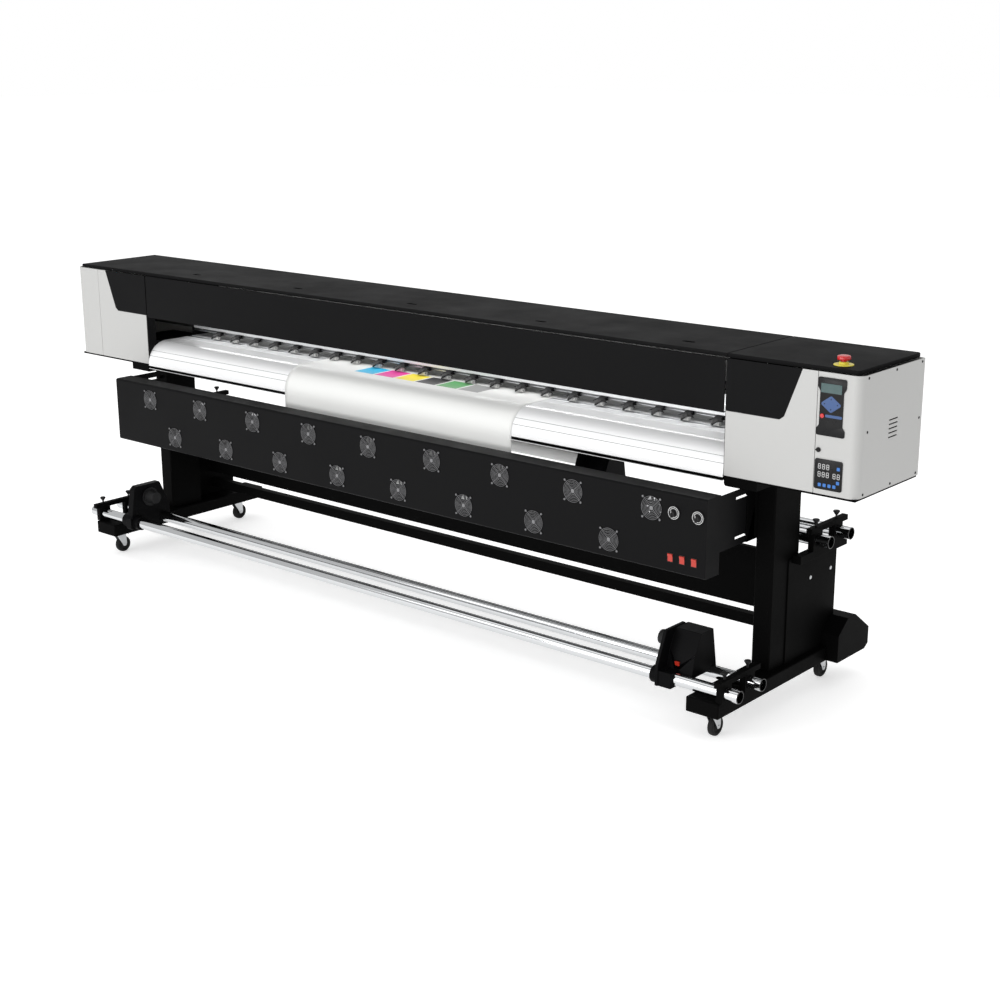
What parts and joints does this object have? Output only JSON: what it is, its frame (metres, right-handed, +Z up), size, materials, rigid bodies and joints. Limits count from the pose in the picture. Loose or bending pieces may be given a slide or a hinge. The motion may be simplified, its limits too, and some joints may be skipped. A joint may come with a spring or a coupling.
{
  "type": "wide-format roll-to-roll inkjet printer",
  "caption": "Wide roll-to-roll printer on a castor stand, with a long hooded body, front fan dryer and take-up rods.",
  "frame": {"origin": "on the floor, at the centre of the rectangle that the two feet stand in", "axes": "+X to the right along the machine, -Y towards the front where the media comes out, +Z up"},
  "size_m": [4.508, 1.048, 1.454],
  "materials": {
    "stand_black": "black powder coat, fine texture",
    "cover_white": "light grey-white semi-gloss paint",
    "lid_charcoal": "charcoal satin paint",
    "panel_black": "black satin paint",
    "bare_aluminium": "brushed anodised",
    "heater_white": "white gloss coating",
    "steel": "bright steel",
    "chrome_rod": "polished chrome plate",
    "black_plastic": "moulded, matte",
    "grey_plastic": "moulded, matte",
    "rubber_black": "matte rubber",
    "unit_black": "black painted casting",
    "red_plastic": "glossy red",
    "yellow_plastic": "glossy yellow",
    "display_glass": "tinted display window",
    "panel_film": "black panel with printed keys",
    "media_white": "matte coated sheet",
    "core_brown": "rolled sheet on a core between plastic cones"
  },
  "bodies": {
    "frame": {"belt_drive": "black_plastic", "capping_station": "black_plastic", "chassis": "stand_black", "columns": "stand_black", "control_panels": "panel_film", "cross_panel": "stand_black", "crossbar": "stand_black", "displays": "display_glass", "dryer_arms": "stand_black", "end_cap_left": "cover_white", "end_cap_right": "cover_white", "estop_collar": "yellow_plastic", "feed_units": "unit_black", "feet": "stand_black", "front_heater": "heater_white", "front_panels": "cover_white", "guide_beam": "bare_aluminium", "inner_panels": "panel_black", "lid": "lid_charcoal", "media_web": "media_white", "platen": "bare_aluminium", "power_box": "stand_black", "power_inlet": "black_plastic", "rear_cover": "cover_white", "rear_guide": "heater_white", "rod_brackets": "stand_black", "roll_rods": "chrome_rod", "screws": "steel", "side_plates": "stand_black"},
    "flap": {"front_flap": "panel_black"},
    "carriage": {"carriage": "black_plastic", "print_heads": "grey_plastic"},
    "grit_roller": {"grit_roller": "steel"},
    "pinch_arms": {"pinch_arms": "black_plastic"},
    "pinch_rollers": {"pinch_rollers": "rubber_black"},
    "power_button": {"power_button": "red_plastic"},
    "quarter_latch": {"quarter_latch": "black_plastic"},
    "estop_button": {"estop_button": "red_plastic"},
    "dryer": {"dryer_shell": "panel_black", "fan_units": "black_plastic", "fan_guards": "steel"},
    "knob_left": {"thermostat_knob_left": "black_plastic"},
    "knob_right": {"thermostat_knob_right": "black_plastic"},
    "rocker_left": {"rocker_left": "red_plastic"},
    "rocker_middle": {"rocker_middle": "red_plastic"},
    "rocker_right": {"rocker_right": "red_plastic"},
    "takeup_right": {"takeup_unit_right": "unit_black"},
    "takeup_left": {"takeup_unit_left": "unit_black"},
    "chuck_right": {"takeup_chuck_right": "black_plastic"},
    "chuck_left": {"takeup_chuck_left": "black_plastic"},
    "takeup_rocker": {"takeup_rocker": "red_plastic"},
    "feed_roll": {"feed_roll": "core_brown"},
    "fork_front_left": {"castor_fork_front_left": "steel"},
    "wheel_front_left": {"castor_wheel_front_left": "rubber_black"},
    "fork_front_right": {"castor_fork_front_right": "steel"},
    "wheel_front_right": {"castor_wheel_front_right": "rubber_black"},
    "fork_rear_left": {"castor_fork_rear_left": "steel"},
    "wheel_rear_left": {"castor_wheel_rear_left": "rubber_black"},
    "fork_rear_right": {"castor_fork_rear_right": "steel"},
    "wheel_rear_right": {"castor_wheel_rear_right": "rubber_black"}
  },
  "joints": [
    {"name": "flap_hinge", "type": "hinge", "parent": "frame", "child": "flap", "pos_m": [0, -0.232, 1.4], "axis": [-1, 0, 0], "range_deg": [0, 85]},
    {"name": "carriage_slide", "type": "slide", "parent": "frame", "child": "carriage", "axis": [1, 0, 0], "range_m": [-3.75, 0]},
    {"name": "grit_spin", "type": "hinge", "parent": "frame", "child": "grit_roller", "pos_m": [0, 0.025, 1.0592], "axis": [1, 0, 0], "continuous": true},
    {"name": "pinch_lift", "type": "hinge", "parent": "frame", "child": "pinch_arms", "pos_m": [0, 0.062, 1.1], "axis": [-1, 0, 0], "range_deg": [0, 8]},
    {"name": "pinch_spin", "type": "hinge", "parent": "pinch_arms", "child": "pinch_rollers", "pos_m": [0, 0.025, 1.0826], "axis": [1, 0, 0], "continuous": true},
    {"name": "power_press", "type": "slide", "parent": "frame", "child": "power_button", "axis": [0, 1, 0], "range_m": [0, 0.002], "stiffness_N_per_m": 300},
    {"name": "latch_turn", "type": "hinge", "parent": "frame", "child": "quarter_latch", "pos_m": [2.094, -0.242, 1.124], "axis": [0, -1, 0], "range_deg": [0, 90]},
    {"name": "estop_press", "type": "slide", "parent": "frame", "child": "estop_button", "axis": [0, 0, -1], "range_m": [0, 0.005], "stiffness_N_per_m": 1500},
    {"name": "dryer_slide", "type": "slide", "parent": "frame", "child": "dryer", "axis": [0, 1, 0], "range_m": [0, 0.06]},
    {"name": "knob_left_turn", "type": "hinge", "parent": "dryer", "child": "knob_left", "pos_m": [1.605, -0.42, 0.839], "axis": [0, -1, 0], "range_deg": [0, 270]},
    {"name": "knob_right_turn", "type": "hinge", "parent": "dryer", "child": "knob_right", "pos_m": [1.712, -0.42, 0.839], "axis": [0, -1, 0], "range_deg": [0, 270]},
    {"name": "rocker_left_tilt", "type": "hinge", "parent": "dryer", "child": "rocker_left", "pos_m": [1.592, -0.4125, 0.663], "axis": [-1, 0, 0], "range_deg": [0, 16]},
    {"name": "rocker_middle_tilt", "type": "hinge", "parent": "dryer", "child": "rocker_middle", "pos_m": [1.645, -0.4125, 0.663], "axis": [-1, 0, 0], "range_deg": [0, 16]},
    {"name": "rocker_right_tilt", "type": "hinge", "parent": "dryer", "child": "rocker_right", "pos_m": [1.698, -0.4125, 0.663], "axis": [-1, 0, 0], "range_deg": [0, 16]},
    {"name": "takeup_right_slide", "type": "slide", "parent": "frame", "child": "takeup_right", "axis": [1, 0, 0], "range_m": [-1.3, 0.01]},
    {"name": "takeup_left_slide", "type": "slide", "parent": "frame", "child": "takeup_left", "axis": [-1, 0, 0], "range_m": [-1.3, 0.01]},
    {"name": "chuck_right_spin", "type": "hinge", "parent": "takeup_right", "child": "chuck_right", "pos_m": [1.588, -0.374, 0.325], "axis": [1, 0, 0], "continuous": true},
    {"name": "chuck_left_spin", "type": "hinge", "parent": "takeup_left", "child": "chuck_left", "pos_m": [-1.588, -0.374, 0.325], "axis": [1, 0, 0], "continuous": true},
    {"name": "takeup_rocker_tilt", "type": "hinge", "parent": "takeup_right", "child": "takeup_rocker", "pos_m": [1.646, -0.426, 0.252], "axis": [-1, 0, 0], "range_deg": [0, 16]},
    {"name": "feed_roll_spin", "type": "hinge", "parent": "frame", "child": "feed_roll", "pos_m": [0, 0.245, 0.772], "axis": [1, 0, 0], "continuous": true},
    {"name": "castor_front_left_swivel", "type": "hinge", "parent": "frame", "child": "fork_front_left", "pos_m": [-1.804, -0.42, 0.1], "axis": [0, 0, 1], "continuous": true},
    {"name": "castor_front_left_roll", "type": "hinge", "parent": "fork_front_left", "child": "wheel_front_left", "pos_m": [-1.804, -0.398, 0.04], "axis": [1, 0, 0], "continuous": true},
    {"name": "castor_front_right_swivel", "type": "hinge", "parent": "frame", "child": "fork_front_right", "pos_m": [1.804, -0.42, 0.1], "axis": [0, 0, 1], "continuous": true},
    {"name": "castor_front_right_roll", "type": "hinge", "parent": "fork_front_right", "child": "wheel_front_right", "pos_m": [1.804, -0.398, 0.04], "axis": [1, 0, 0], "continuous": true},
    {"name": "castor_rear_left_swivel", "type": "hinge", "parent": "frame", "child": "fork_rear_left", "pos_m": [-1.804, 0.36, 0.1], "axis": [0, 0, 1], "continuous": true},
    {"name": "castor_rear_left_roll", "type": "hinge", "parent": "fork_rear_left", "child": "wheel_rear_left", "pos_m": [-1.804, 0.382, 0.04], "axis": [1, 0, 0], "continuous": true},
    {"name": "castor_rear_right_swivel", "type": "hinge", "parent": "frame", "child": "fork_rear_right", "pos_m": [1.804, 0.36, 0.1], "axis": [0, 0, 1], "continuous": true},
    {"name": "castor_rear_right_roll", "type": "hinge", "parent": "fork_rear_right", "child": "wheel_rear_right", "pos_m": [1.804, 0.382, 0.04], "axis": [1, 0, 0], "continuous": true}
  ],
  "couplings": [
    {"joint": "pinch_spin", "follows": "grit_spin", "ratio": -1.2}
  ]
}
